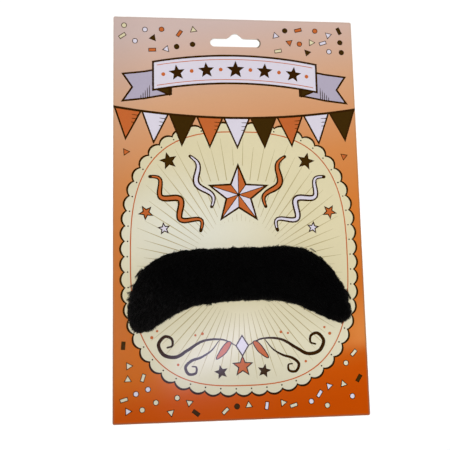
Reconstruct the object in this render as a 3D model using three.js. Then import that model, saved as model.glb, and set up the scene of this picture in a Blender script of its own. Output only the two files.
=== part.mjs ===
// Fake moustache on its display card, in millimetres, +Z up.
// The card lies on its back with the origin at the middle of its underside: X runs across it, Y up it towards the hang slot.
// The moustache is a strip of plush: a knitted base cloth, the dense pile that stands on it and laps over its edge, and the
// strip of double-sided tape that holds it to the card until it is peeled off and worn.
import * as THREE from "three";

// ---- Driving dimensions ----
const CARD_WIDTH = 155;
const CARD_LENGTH = 252;
const CARD_THICKNESS = 0.5;
const CARD_CORNER_RADIUS = 1.2;

const SLOT_WIDTH = 32; // the usual punched hang slot for a peg hook
const SLOT_HEIGHT = 5.3;
const SLOT_FLOOR_Y = 107.4; // the slot's lower edge
const SLOT_BUMP_HALF = 6.4; // half the width of the raised middle, at its foot
const SLOT_BUMP_RISE = 3.4;

const GAP = 0.05; // between pieces that lie on each other
const TAPE_THICKNESS = 0.5;
const TAPE_LENGTH = 92;
const TAPE_WIDTH = 15;
const TAPE_CORNER_RADIUS = 2;
const TAPE_CENTRE_Y = -40.5;

const CLOTH_THICKNESS = 1.0;
const CLOTH_INSET = 2.0; // the cloth's edge lies this far inside the pile's outline

const PILE_RIM_GAP = 0.35; // between the cloth's edge and the pile that laps over it
const OUTLINE_STEPS = 108;

// Heights, from the card's underside up
const TAPE_Z = CARD_THICKNESS + GAP;
const CLOTH_Z = TAPE_Z + TAPE_THICKNESS + GAP;
const PILE_Z = CLOTH_Z + CLOTH_THICKNESS + GAP;

// ---- The moustache's outline, a row for each section across it ----
// x is where the section is, and top and bottom are the edge's places on the card there.
const SECTIONS = [
  { x: -66.3, top: -51.4, bottom: -69.8 },
  { x: -62.4, top: -40.7, bottom: -72.5 },
  { x: -56.0, top: -32.6, bottom: -71.3 },
  { x: -48.0, top: -27.5, bottom: -66.9 },
  { x: -38.0, top: -24.6, bottom: -61.1 },
  { x: -26.0, top: -23.5, bottom: -56.9 },
  { x: -12.0, top: -23.3, bottom: -55.3 },
  { x: 2.0, top: -22.9, bottom: -54.5 },
  { x: 16.0, top: -22.5, bottom: -54.7 },
  { x: 28.0, top: -22.1, bottom: -56.1 },
  { x: 38.0, top: -23.7, bottom: -59.7 },
  { x: 47.0, top: -27.6, bottom: -63.8 },
  { x: 55.0, top: -34.7, bottom: -67.2 },
  { x: 61.6, top: -44.4, bottom: -69.6 },
  { x: 65.6, top: -51.8, bottom: -67.5 },
];
const TIPS = { left: { x: -68.6, y: -61.4 }, right: { x: 67.6, y: -60.8 } };
// The sections lean in to a line along the middle, which ends this far inside each tip.
const SPINE_END_INSET = 13;

// ---- The pile's profile, from the cloth's edge round the outside to the crown ----
// inset is how far inside the outline the ring lies, and z its height over the card's underside.
const PILE_PROFILE = [
  { inset: CLOTH_INSET - PILE_RIM_GAP, z: PILE_Z },
  { inset: CLOTH_INSET - PILE_RIM_GAP, z: 1.35 },
  { inset: 1.0, z: 0.95 },
  { inset: 0.35, z: 1.4 },
  { inset: 0.0, z: 2.5 },
  { inset: 0.3, z: 4.0 },
  { inset: 1.2, z: 5.4 },
  { inset: 3.0, z: 6.6 },
  { inset: 6.0, z: 7.4 },
  { inset: 10.5, z: 7.9 },
];
const CROWN_Z = 8.1;

// The closed outline, anticlockwise seen from above, as evenly spaced points.
function outline() {
  const lower = SECTIONS.map((s) => new THREE.Vector3(s.x, s.bottom, 0));
  const upper = SECTIONS.map((s) => new THREE.Vector3(s.x, s.top, 0)).reverse();
  const left = new THREE.Vector3(TIPS.left.x, TIPS.left.y, 0);
  const right = new THREE.Vector3(TIPS.right.x, TIPS.right.y, 0);
  const curve = new THREE.CatmullRomCurve3(
    [...lower, right, ...upper, left],
    true,
    "centripetal",
  );
  curve.arcLengthDivisions = 1200;
  return curve
    .getSpacedPoints(OUTLINE_STEPS)
    .slice(0, OUTLINE_STEPS)
    .map((p) => new THREE.Vector2(p.x, p.y));
}

// The middle line's height at x, straight between the sections' own middles.
function spineY(x) {
  const rows = SECTIONS.map((s) => ({ x: s.x, y: (s.top + s.bottom) / 2 }));
  const k = Math.max(
    1,
    Math.min(rows.length - 1, rows.findIndex((r) => r.x >= x)),
  );
  const a = rows[k - 1],
    b = rows[k];
  return a.y + ((b.y - a.y) * (x - a.x)) / (b.x - a.x);
}

// The outline moved inwards by inset. Each point heads for the middle line, and never gets past it.
function insetRing(points, inset) {
  const n = points.length;
  const from = TIPS.left.x + SPINE_END_INSET,
    to = TIPS.right.x - SPINE_END_INSET;
  return points.map((p, i) => {
    const tangent = points[(i + 1) % n]
      .clone()
      .sub(points[(i + n - 1) % n])
      .normalize();
    const inward = new THREE.Vector2(-tangent.y, tangent.x);
    const x = THREE.MathUtils.clamp(p.x + inward.x * 14, from, to);
    const middle = new THREE.Vector2(x, spineY(x));
    const way = middle.clone().sub(p);
    const reach = way.length();
    way.normalize();
    // Near the edge the move is square to the edge; further in it turns towards the middle line.
    const turn = Math.min(1, inset / 6);
    const heading = inward.lerp(way, turn).normalize();
    return p.clone().addScaledVector(heading, Math.min(inset, reach * 0.8));
  });
}

// A closed solid from a stack of rings of equal length, capped at both ends.
function stackedRings(rings) {
  const n = rings[0].points.length;
  const position = [];
  const index = [];
  for (const { points, z } of rings)
    for (const p of points) position.push(p.x, p.y, z);
  for (let k = 0; k + 1 < rings.length; k++)
    for (let i = 0; i < n; i++) {
      const a = k * n + i,
        b = k * n + ((i + 1) % n);
      index.push(a, b, b + n, a, b + n, a + n);
    }
  const cap = (k, up) => {
    const faces = THREE.ShapeUtils.triangulateShape(rings[k].points, []);
    for (const [a, b, c] of faces)
      index.push(...(up ? [a, b, c] : [a, c, b]).map((v) => v + k * n));
  };
  cap(0, false);
  cap(rings.length - 1, true);
  const geometry = new THREE.BufferGeometry();
  geometry.setAttribute(
    "position",
    new THREE.Float32BufferAttribute(position, 3),
  );
  geometry.setIndex(index);
  geometry.computeVertexNormals();
  return geometry;
}

function roundedRectangle(target, width, height, radius) {
  const x = width / 2,
    y = height / 2;
  target.moveTo(-x + radius, -y);
  target.lineTo(x - radius, -y);
  target.absarc(x - radius, -y + radius, radius, -Math.PI / 2, 0, false);
  target.lineTo(x, y - radius);
  target.absarc(x - radius, y - radius, radius, 0, Math.PI / 2, false);
  target.lineTo(-x + radius, y);
  target.absarc(-x + radius, y - radius, radius, Math.PI / 2, Math.PI, false);
  target.lineTo(-x, -y + radius);
  target.absarc(-x + radius, -y + radius, radius, Math.PI, Math.PI * 1.5, false);
  return target;
}

// The hang slot: a long slot with round ends, and a raised middle that centres the card on its peg.
function hangSlot() {
  const r = SLOT_HEIGHT / 2,
    x = SLOT_WIDTH / 2 - r,
    low = SLOT_FLOOR_Y,
    high = low + SLOT_HEIGHT,
    peak = high + SLOT_BUMP_RISE,
    foot = SLOT_BUMP_HALF;
  const slot = new THREE.Path();
  slot.moveTo(-x, low);
  slot.lineTo(x, low);
  slot.absarc(x, low + r, r, -Math.PI / 2, Math.PI / 2, false);
  slot.lineTo(foot, high);
  slot.bezierCurveTo(foot * 0.55, high, foot * 0.45, peak, 0, peak);
  slot.bezierCurveTo(-foot * 0.45, peak, -foot * 0.55, high, -foot, high);
  slot.lineTo(-x, high);
  slot.absarc(-x, low + r, r, Math.PI / 2, Math.PI * 1.5, false);
  return slot;
}

const cardBoard = new THREE.MeshStandardMaterial({
  color: 0xd98a52,
  roughness: 0.35,
  metalness: 0,
});
const tapeFoam = new THREE.MeshStandardMaterial({
  color: 0xe9e4d6,
  roughness: 0.6,
  metalness: 0,
});
const blackCloth = new THREE.MeshStandardMaterial({
  color: 0x101010,
  roughness: 0.95,
  metalness: 0,
});
const blackPile = new THREE.MeshStandardMaterial({
  color: 0x060606,
  roughness: 1,
  metalness: 0,
});

// The card
const cardShape = roundedRectangle(
  new THREE.Shape(),
  CARD_WIDTH,
  CARD_LENGTH,
  CARD_CORNER_RADIUS,
);
cardShape.holes.push(hangSlot());
const card = new THREE.Mesh(
  new THREE.ExtrudeGeometry(cardShape, {
    depth: CARD_THICKNESS,
    bevelEnabled: false,
    curveSegments: 8,
  }),
  cardBoard,
);
card.name = "display_card";

// The tape
const tape = new THREE.Mesh(
  new THREE.ExtrudeGeometry(
    roundedRectangle(
      new THREE.Shape(),
      TAPE_LENGTH,
      TAPE_WIDTH,
      TAPE_CORNER_RADIUS,
    ),
    { depth: TAPE_THICKNESS, bevelEnabled: false, curveSegments: 4 },
  ),
  tapeFoam,
);
tape.name = "adhesive_tape";
tape.position.set(0, TAPE_CENTRE_Y, TAPE_Z);

// The moustache
const edge = outline();
const clothRing = insetRing(edge, CLOTH_INSET);
const cloth = new THREE.Mesh(
  stackedRings([
    { points: clothRing, z: 0 },
    { points: clothRing, z: CLOTH_THICKNESS },
  ]),
  blackCloth,
);
cloth.name = "base_cloth";
cloth.position.z = CLOTH_Z;

const crownRing = insetRing(edge, PILE_PROFILE[PILE_PROFILE.length - 1].inset + 2.5);
const pile = new THREE.Mesh(
  stackedRings([
    ...PILE_PROFILE.map(({ inset, z }) => ({ points: insetRing(edge, inset), z })),
    { points: crownRing, z: CROWN_Z },
  ]),
  blackPile,
);
pile.name = "plush_pile";

const moustache = new THREE.Group();
moustache.add(tape, cloth, pile);

const object = new THREE.Group();
object.add(card, moustache);
export default object;
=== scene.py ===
"""The looks of a plush fake moustache on its display card. Lengths in the tables are millimetres, and meshes are in metres."""

import math

import bpy
import numpy as np
from mathutils import Matrix, Vector
from mathutils.geometry import delaunay_2d_cdt
from mathutils.kdtree import KDTree


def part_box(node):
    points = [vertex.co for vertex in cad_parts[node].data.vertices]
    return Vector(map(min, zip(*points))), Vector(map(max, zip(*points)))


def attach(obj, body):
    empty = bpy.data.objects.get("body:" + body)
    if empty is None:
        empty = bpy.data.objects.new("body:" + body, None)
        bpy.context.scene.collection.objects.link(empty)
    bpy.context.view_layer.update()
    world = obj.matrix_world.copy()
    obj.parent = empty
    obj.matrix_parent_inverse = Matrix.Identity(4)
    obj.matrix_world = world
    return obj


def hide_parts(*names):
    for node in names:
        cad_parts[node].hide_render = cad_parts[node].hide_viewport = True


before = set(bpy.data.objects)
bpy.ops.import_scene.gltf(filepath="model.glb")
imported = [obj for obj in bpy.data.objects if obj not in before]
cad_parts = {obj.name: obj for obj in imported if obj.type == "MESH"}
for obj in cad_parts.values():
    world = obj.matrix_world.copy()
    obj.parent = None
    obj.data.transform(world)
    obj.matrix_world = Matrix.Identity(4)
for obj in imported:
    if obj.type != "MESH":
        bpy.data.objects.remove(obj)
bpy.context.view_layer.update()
MM = 0.001

card_low, card_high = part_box("display_card")
cloth_low, cloth_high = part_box("base_cloth")
pile_low, pile_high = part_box("plush_pile")
CARD_TOP = card_high.z / MM
CLOTH_FOOT, CLOTH_TOP = cloth_low.z / MM, cloth_high.z / MM
PILE_FOOT, PILE_TOP = pile_low.z / MM, pile_high.z / MM


# ---- Camera: over the card, a little low and to the left of it, looking back towards its middle ----
camera_data = bpy.data.cameras.new("camera")
camera_data.sensor_fit = "HORIZONTAL"
camera_data.sensor_width = 36.0
camera_data.lens = 51.70
camera = bpy.data.objects.new("camera", camera_data)
bpy.context.scene.collection.objects.link(camera)
camera.matrix_world = (
    Matrix.Translation(Vector((-50.9, -62.6, 394.2 + CARD_TOP)) * MM)
    @ Matrix.Rotation(math.radians(7.81), 4, "X")
    @ Matrix.Rotation(math.radians(-6.02), 4, "Y")
    @ Matrix.Rotation(math.radians(-0.39), 4, "Z")
)
camera_data.clip_start, camera_data.clip_end = 0.01, 20.0
bpy.context.scene.camera = camera


# ---- Light: a wide soft lamp from beside the camera, a weak one that glints on the varnish, and a pale studio ----
scene = bpy.context.scene
scene.view_settings.view_transform = "Standard"
scene.view_settings.look = "None"
scene.view_settings.exposure = 0.0
scene.view_settings.gamma = 1.0

# How bright the studio is, by height: a bright horizon, dimmer walls, and a dark ceiling so that varnish seen from
# above keeps its depth of colour
STUDIO = (
    {"height": 0.0, "light": 1.0, "warmth": 0.0},
    {"height": 0.24, "light": 0.895, "warmth": 0.0},
    {"height": 0.42, "light": 0.30, "warmth": 0.02},
    {"height": 0.72, "light": 0.20, "warmth": 0.02},
    {"height": 0.92, "light": 0.02, "warmth": 0.02},
)
world = bpy.data.worlds.new("studio")
scene.world = world
world.use_nodes = True
sky, sky_links = world.node_tree.nodes, world.node_tree.links
sky_way = sky.new("ShaderNodeTexCoord")
sky_split = sky.new("ShaderNodeSeparateXYZ")
sky_ramp = sky.new("ShaderNodeValToRGB")
for number, level in enumerate(STUDIO):
    stops = sky_ramp.color_ramp.elements
    stop = stops[number] if number < 2 else stops.new(level["height"])
    stop.position = level["height"]
    stop.color = (level["light"], level["light"] * (1 - level["warmth"] / 2), level["light"] * (1 - level["warmth"]), 1)
sky_links.new(sky_way.outputs["Generated"], sky_split.inputs["Vector"])
sky_links.new(sky_split.outputs["Z"], sky_ramp.inputs["Fac"])
sky_links.new(sky_ramp.outputs["Color"], sky["Background"].inputs["Color"])
sky["Background"].inputs["Strength"].default_value = 1.06


def lamp_object(name, data, place, target, along=(1, 0, 0)):
    """A lamp at place that shines at target, with its own X, its long side, turned as near to along as can be."""
    lamp = bpy.data.objects.new(name, data)
    scene.collection.objects.link(lamp)
    lamp.location = place
    back = (Vector(place) - Vector(target)).normalized()
    side = Vector(along)
    side = (side - back * side.dot(back)).normalized()
    lamp.rotation_mode = "QUATERNION"
    lamp.rotation_quaternion = Matrix((side, back.cross(side), back)).transposed().to_quaternion()
    return lamp


key = bpy.data.lights.new("key_light", "SUN")
key.energy = 2.62
key.angle = math.radians(11)
key_lamp = lamp_object("key_light", key, (-0.125, 0.0, 1.0), (0, 0, 0))
key_lamp.visible_glossy = False

glint = bpy.data.lights.new("glint_light", "AREA")
glint.shape = "ELLIPSE"
glint.size, glint.size_y = 0.165, 0.032
glint.energy = 0.225
glint.color = (0.6, 0.62, 1.0)
glint_lamp = lamp_object("glint_light", glint, (0.0385, -0.1205, 0.6206), (-0.0160, -0.0850, 0.0), along=(0.9, 0.44, 0))
glint_lamp.visible_diffuse = False


# The hang slot, a long slot with round ends and a raised middle
SLOT = {"half_width": 16.0, "low": 107.4, "height": 5.3, "bump_half": 6.4, "bump_rise": 3.4}


# ---- Materials ----
def new_material(name):
    m = bpy.data.materials.new(name)
    m.use_nodes = True
    nodes, links = m.node_tree.nodes, m.node_tree.links
    nodes.clear()
    out = nodes.new("ShaderNodeOutputMaterial")
    shader = nodes.new("ShaderNodeBsdfPrincipled")
    links.new(shader.outputs["BSDF"], out.inputs["Surface"])
    return m, nodes, links, shader


def node(nodes, kind, **values):
    made = nodes.new(kind)
    for key, value in values.items():
        if key in made.inputs.keys():
            made.inputs[key].default_value = value
        else:
            setattr(made, key, value)
    return made


def srgb(r, g, b):
    """An sRGB colour, 0 to 255, as linear RGBA."""
    return tuple(
        (c / 255 / 12.92 if c / 255 <= 0.04045 else ((c / 255 + 0.055) / 1.055) ** 2.4)
        for c in (r, g, b)
    ) + (1.0,)


def board_bump(nodes, links, shader, strength):
    """The faint unevenness of varnished board: a slow ripple, and the paper's own fine grain."""
    place = node(nodes, "ShaderNodeTexCoord")
    slow = node(nodes, "ShaderNodeTexNoise", Scale=30.0, Detail=1.0, Roughness=0.5)
    fine = node(nodes, "ShaderNodeTexNoise", Scale=900.0, Detail=3.0, Roughness=0.6)
    links.new(place.outputs["Object"], slow.inputs["Vector"])
    links.new(place.outputs["Object"], fine.inputs["Vector"])
    first = node(nodes, "ShaderNodeBump", Strength=strength, Distance=0.0005)
    second = node(nodes, "ShaderNodeBump", Strength=strength, Distance=0.00003)
    links.new(slow.outputs["Fac"], first.inputs["Height"])
    links.new(fine.outputs["Fac"], second.inputs["Height"])
    links.new(first.outputs["Normal"], second.inputs["Normal"])
    links.new(second.outputs["Normal"], shader.inputs["Normal"])
    return place


def ink_material(name, colour, mottle=0.05):
    """Printed and varnished board: one ink, a little uneven as it lies on the paper."""
    m, nodes, links, shader = new_material(name)
    place = board_bump(nodes, links, shader, 0.25)
    grain = node(nodes, "ShaderNodeTexNoise", Scale=620.0, Detail=4.0, Roughness=0.7)
    cloud = node(nodes, "ShaderNodeTexNoise", Scale=26.0, Detail=2.0, Roughness=0.5)
    links.new(place.outputs["Object"], grain.inputs["Vector"])
    links.new(place.outputs["Object"], cloud.inputs["Vector"])
    both = node(nodes, "ShaderNodeMath", operation="ADD")
    links.new(grain.outputs["Fac"], both.inputs[0])
    links.new(cloud.outputs["Fac"], both.inputs[1])
    span = node(nodes, "ShaderNodeMapRange", **{"From Min": 0.6, "From Max": 1.4, "To Min": 1 - mottle, "To Max": 1 + mottle})
    links.new(both.outputs[0], span.inputs["Value"])
    tint = node(nodes, "ShaderNodeVectorMath", operation="SCALE")
    if callable(colour):
        links.new(colour(nodes, links, place), tint.inputs[0])
    else:
        tint.inputs[0].default_value = colour[:3]
    links.new(span.outputs["Result"], tint.inputs["Scale"])
    # Painted shade: the inks are darkened towards the card's lower left corner, standing in for the light falling off
    # there
    way = node(nodes, "ShaderNodeVectorMath", operation="DOT_PRODUCT")
    way.inputs[1].default_value = (-0.7, -0.7, 0.0)
    links.new(place.outputs["Object"], way.inputs[0])
    painted_falloff_shade = node(nodes, "ShaderNodeMapRange", **{"From Min": 0.02, "From Max": 0.13, "To Min": 1.0, "To Max": 0.87})
    links.new(way.outputs["Value"], painted_falloff_shade.inputs["Value"])
    falloff_shaded_ink = node(nodes, "ShaderNodeVectorMath", operation="SCALE")
    links.new(tint.outputs["Vector"], falloff_shaded_ink.inputs[0])
    links.new(painted_falloff_shade.outputs["Result"], falloff_shaded_ink.inputs["Scale"])
    links.new(falloff_shaded_ink.outputs["Vector"], shader.inputs["Base Color"])
    gloss = node(nodes, "ShaderNodeMapRange", **{"From Min": 0.3, "From Max": 0.7, "To Min": 0.145, "To Max": 0.17})
    links.new(cloud.outputs["Fac"], gloss.inputs["Value"])
    links.new(gloss.outputs["Result"], shader.inputs["Roughness"])
    shader.inputs["IOR"].default_value = 1.5
    shader.inputs["Specular IOR Level"].default_value = 0.35
    return m


def ground_ink(nodes, links, place):
    """The ground fades from a pale dusty peach at the top to a strong orange at the foot, a little sooner on the right."""
    split = node(nodes, "ShaderNodeSeparateXYZ")
    links.new(place.outputs["Object"], split.inputs["Vector"])
    tilt = node(nodes, "ShaderNodeMath", operation="MULTIPLY_ADD")
    tilt.inputs[1].default_value = -0.17
    links.new(split.outputs["X"], tilt.inputs[0])
    links.new(split.outputs["Y"], tilt.inputs[2])
    span = node(nodes, "ShaderNodeMapRange", **{"From Min": -0.126, "From Max": 0.126, "To Min": 0.0, "To Max": 1.0})
    links.new(tilt.outputs[0], span.inputs["Value"])
    ramp = node(nodes, "ShaderNodeValToRGB")
    stops = ramp.color_ramp.elements
    stops[0].position, stops[0].color = 0.0, srgb(187, 73, 0)
    stops[1].position, stops[1].color = 1.0, srgb(200, 177, 170)
    for place_at, colour in (
        (0.07, srgb(191, 79, 5)),
        (0.15, srgb(199, 103, 28)),
        (0.46, srgb(206, 119, 49)),
        (0.62, srgb(207, 134, 76)),
        (0.80, srgb(207, 158, 121)),
    ):
        made = stops.new(place_at)
        made.color = colour
    links.new(span.outputs["Result"], ramp.inputs["Fac"])
    # Painted shade: it is a little greyer along the left edge, standing in for shade there. It is also lighter on the
    # right just above where it turns dark
    left = node(nodes, "ShaderNodeMapRange", **{"From Min": -0.052, "From Max": -0.072, "To Min": 0.0, "To Max": 0.09})
    links.new(split.outputs["X"], left.inputs["Value"])
    high = node(nodes, "ShaderNodeMapRange", **{"From Min": -0.11, "From Max": -0.02, "To Min": 0.15, "To Max": 1.0})
    links.new(split.outputs["Y"], high.inputs["Value"])
    painted_left_shade = node(nodes, "ShaderNodeMath", operation="MULTIPLY")
    links.new(left.outputs["Result"], painted_left_shade.inputs[0])
    links.new(high.outputs["Result"], painted_left_shade.inputs[1])
    greyer = node(nodes, "ShaderNodeMix", data_type="RGBA")
    links.new(painted_left_shade.outputs[0], greyer.inputs["Factor"])
    links.new(ramp.outputs["Color"], greyer.inputs[6])
    greyer.inputs[7].default_value = srgb(108, 106, 104)
    right = node(nodes, "ShaderNodeMapRange", **{"From Min": 0.052, "From Max": 0.073, "To Min": 0.0, "To Max": 0.34})
    above = node(nodes, "ShaderNodeMapRange", interpolation_type="SMOOTHSTEP", **{"From Min": -0.102, "From Max": -0.092, "To Min": 0.0, "To Max": 1.0})
    below = node(nodes, "ShaderNodeMapRange", interpolation_type="SMOOTHSTEP", **{"From Min": -0.088, "From Max": -0.052, "To Min": 1.0, "To Max": 0.0})
    links.new(split.outputs["X"], right.inputs["Value"])
    links.new(tilt.outputs[0], above.inputs["Value"])
    links.new(tilt.outputs[0], below.inputs["Value"])
    band = node(nodes, "ShaderNodeMath", operation="MULTIPLY")
    links.new(above.outputs["Result"], band.inputs[0])
    links.new(below.outputs["Result"], band.inputs[1])
    light = node(nodes, "ShaderNodeMath", operation="MULTIPLY")
    links.new(band.outputs[0], light.inputs[0])
    links.new(right.outputs["Result"], light.inputs[1])
    lighter = node(nodes, "ShaderNodeMix", data_type="RGBA")
    links.new(light.outputs[0], lighter.inputs["Factor"])
    links.new(greyer.outputs[2], lighter.inputs[6])
    lighter.inputs[7].default_value = srgb(238, 165, 95)
    # It is darker and greyer along the card's edge, most at the foot where it is strong
    edges = []
    for axis, half in (("X", card_high.x), ("Y", card_high.y)):
        size = node(nodes, "ShaderNodeMath", operation="ABSOLUTE")
        near = node(nodes, "ShaderNodeMapRange", **{"From Min": half - 0.0014, "From Max": half - 0.0002, "To Min": 0.0, "To Max": 1.0})
        links.new(split.outputs[axis], size.inputs[0])
        links.new(size.outputs[0], near.inputs["Value"])
        edges.append(near.outputs["Result"])
    edge_darkening = node(nodes, "ShaderNodeMath", operation="MAXIMUM")
    links.new(edges[0], edge_darkening.inputs[0])
    links.new(edges[1], edge_darkening.inputs[1])
    share = node(nodes, "ShaderNodeMapRange", **{"From Min": -0.09, "From Max": 0.1, "To Min": 0.58, "To Max": 0.12})
    links.new(split.outputs["Y"], share.inputs["Value"])
    part = node(nodes, "ShaderNodeMath", operation="MULTIPLY")
    links.new(share.outputs["Result"], part.inputs[1])
    links.new(edge_darkening.outputs[0], part.inputs[0])
    mix = node(nodes, "ShaderNodeMix", data_type="RGBA")
    links.new(part.outputs[0], mix.inputs["Factor"])
    links.new(lighter.outputs[2], mix.inputs[6])
    mix.inputs[7].default_value = srgb(106, 106, 82)
    # Painted shadow: a thin dark crescent round the slot's right end, standing in for the shadow at the slot's wall
    # there
    radius = SLOT["height"] / 2
    middle = ((SLOT["half_width"] - radius) * MM, (SLOT["low"] + radius) * MM, card_high.z)
    away = node(nodes, "ShaderNodeVectorMath", operation="DISTANCE")
    away.inputs[1].default_value = middle
    links.new(place.outputs["Object"], away.inputs[0])
    ring = node(nodes, "ShaderNodeMapRange", **{"From Min": (radius + 0.6) * MM, "From Max": (radius + 1.05) * MM, "To Min": 0.95, "To Max": 0.0})
    links.new(away.outputs["Value"], ring.inputs["Value"])
    outer = node(nodes, "ShaderNodeMapRange", **{"From Min": middle[0] + 0.0006, "From Max": middle[0] + 0.0019, "To Min": 0.0, "To Max": 1.0})
    links.new(split.outputs["X"], outer.inputs["Value"])
    painted_slot_shadow = node(nodes, "ShaderNodeMath", operation="MULTIPLY")
    links.new(ring.outputs["Result"], painted_slot_shadow.inputs[0])
    links.new(outer.outputs["Result"], painted_slot_shadow.inputs[1])
    slot_shadowed_ground = node(nodes, "ShaderNodeMix", data_type="RGBA")
    links.new(painted_slot_shadow.outputs[0], slot_shadowed_ground.inputs["Factor"])
    links.new(mix.outputs[2], slot_shadowed_ground.inputs[6])
    slot_shadowed_ground.inputs[7].default_value = srgb(96, 88, 76)
    return slot_shadowed_ground.outputs[2]


def cream_ink(nodes, links, place):
    """The cream is palest over the moustache's left half, a painted reflection of cool light on the varnish, and paler
    in a band lower down, painted haze round the glare; it is yellower away from there, above all towards the top right.
    """
    scaled = node(nodes, "ShaderNodeVectorMath", operation="MULTIPLY_ADD")
    scaled.inputs[1].default_value = (1 / 0.042, 1 / 0.027, 0.0)
    scaled.inputs[2].default_value = (0.032 / 0.042, 0.012 / 0.027, 0.0)
    away = node(nodes, "ShaderNodeVectorMath", operation="LENGTH")
    pale = node(nodes, "ShaderNodeMapRange", interpolation_type="SMOOTHSTEP", **{"From Min": 0.0, "From Max": 2.0, "To Min": 1.0, "To Max": 0.0})
    links.new(place.outputs["Object"], scaled.inputs[0])
    links.new(scaled.outputs["Vector"], away.inputs[0])
    links.new(away.outputs["Value"], pale.inputs["Value"])
    split = node(nodes, "ShaderNodeSeparateXYZ")
    under = node(nodes, "ShaderNodeMapRange", interpolation_type="SMOOTHSTEP", **{"From Min": -0.085, "From Max": -0.04, "To Min": 0.46, "To Max": 0.0})
    links.new(place.outputs["Object"], split.inputs["Vector"])
    links.new(split.outputs["Y"], under.inputs["Value"])
    most = node(nodes, "ShaderNodeMath", operation="MAXIMUM")
    links.new(pale.outputs["Result"], most.inputs[0])
    links.new(under.outputs["Result"], most.inputs[1])
    mix = node(nodes, "ShaderNodeMix", data_type="RGBA")
    links.new(most.outputs[0], mix.inputs["Factor"])
    mix.inputs[6].default_value = srgb(216, 206, 169)
    mix.inputs[7].default_value = srgb(220, 218, 202)
    # Painted shade: it is darker over to the left in its upper half, and towards its foot, standing in for the light
    # falling off there
    side = node(nodes, "ShaderNodeMapRange", **{"From Min": 0.004, "From Max": -0.067, "To Min": 0.0, "To Max": 0.075})
    upper = node(nodes, "ShaderNodeMapRange", interpolation_type="SMOOTHSTEP", **{"From Min": -0.008, "From Max": 0.02, "To Min": 0.0, "To Max": 1.0})
    foot = node(nodes, "ShaderNodeMapRange", **{"From Min": -0.08, "From Max": -0.108, "To Min": 0.0, "To Max": 0.09})
    links.new(split.outputs["X"], side.inputs["Value"])
    links.new(split.outputs["Y"], upper.inputs["Value"])
    links.new(split.outputs["Y"], foot.inputs["Value"])
    corner = node(nodes, "ShaderNodeMath", operation="MULTIPLY")
    links.new(side.outputs["Result"], corner.inputs[0])
    links.new(upper.outputs["Result"], corner.inputs[1])
    darker = node(nodes, "ShaderNodeMath", operation="MAXIMUM")
    links.new(corner.outputs[0], darker.inputs[0])
    links.new(foot.outputs["Result"], darker.inputs[1])
    kept = node(nodes, "ShaderNodeMath", operation="SUBTRACT")
    kept.inputs[0].default_value = 1.0
    links.new(darker.outputs[0], kept.inputs[1])
    shaded = node(nodes, "ShaderNodeVectorMath", operation="SCALE")
    links.new(mix.outputs[2], shaded.inputs[0])
    links.new(kept.outputs[0], shaded.inputs["Scale"])
    return shaded.outputs["Vector"]


INKS = {
    "ground": ink_material("ground_ink", ground_ink, 0.02),
    "cream": ink_material("cream_ink", cream_ink, 0.025),
    "dark": ink_material("dark_line_ink", srgb(50, 28, 3), 0.12),
    "band": ink_material("dark_brown_ink", srgb(58, 38, 6), 0.12),
    "lavender": ink_material("lavender_ink", srgb(212, 206, 218), 0.03),
    "shade": ink_material("grey_lavender_ink", srgb(172, 164, 182), 0.04),
    "rust": ink_material("rust_ink", srgb(188, 98, 48), 0.06),
    "fine": ink_material("fine_line_ink", srgb(178, 164, 122), 0.06),
}


def board_material(name, colour, roughness):
    """Bare pulp board, with its fibres."""
    m, nodes, links, shader = new_material(name)
    place = board_bump(nodes, links, shader, 0.5)
    fibre = node(nodes, "ShaderNodeTexNoise", Scale=1400.0, Detail=5.0, Roughness=0.75, Distortion=1.5)
    links.new(place.outputs["Object"], fibre.inputs["Vector"])
    ramp = node(nodes, "ShaderNodeValToRGB")
    c = np.array(colour[:3])
    ramp.color_ramp.elements[0].position, ramp.color_ramp.elements[0].color = 0.3, (*(c * 0.86), 1)
    ramp.color_ramp.elements[1].position, ramp.color_ramp.elements[1].color = 0.62, (*c, 1)
    links.new(fibre.outputs["Fac"], ramp.inputs["Fac"])
    links.new(ramp.outputs["Color"], shader.inputs["Base Color"])
    shader.inputs["Roughness"].default_value = roughness
    return m


card_back_board = board_material("card_back_board", srgb(205, 202, 194), 0.8)
card_edge_board = board_material("card_edge_board", srgb(226, 220, 208), 0.85)


# ---- Lines and shapes of the print, in millimetres on the card's face ----
def smooth(points, per_span=10, closed=False):
    """A smooth curve through the points."""
    p = np.asarray(points, float)
    if closed:
        p = np.vstack([p[-1], p, p[0], p[1]])
    else:
        p = np.vstack([2 * p[0] - p[1], p, 2 * p[-1] - p[-2]])
    out = []
    for a, b, c, d in zip(p[:-3], p[1:-2], p[2:-1], p[3:]):
        t = np.linspace(0, 1, per_span, endpoint=False)[:, None]
        out.append(
            0.5
            * (
                2 * b
                + (c - a) * t
                + (2 * a - 5 * b + 4 * c - d) * t**2
                + (3 * b - a - 3 * c + d) * t**3
            )
        )
    if not closed:
        out.append(p[-2:-1])
    return np.vstack(out)


def normals(p, closed):
    """The unit normal to the left of the way at each point."""
    if closed:
        t = np.roll(p, -1, 0) - np.roll(p, 1, 0)
    else:
        t = np.gradient(p, axis=0)
    t /= np.maximum(np.linalg.norm(t, axis=1, keepdims=True), 1e-9)
    return np.stack([-t[:, 1], t[:, 0]], 1)


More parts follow.
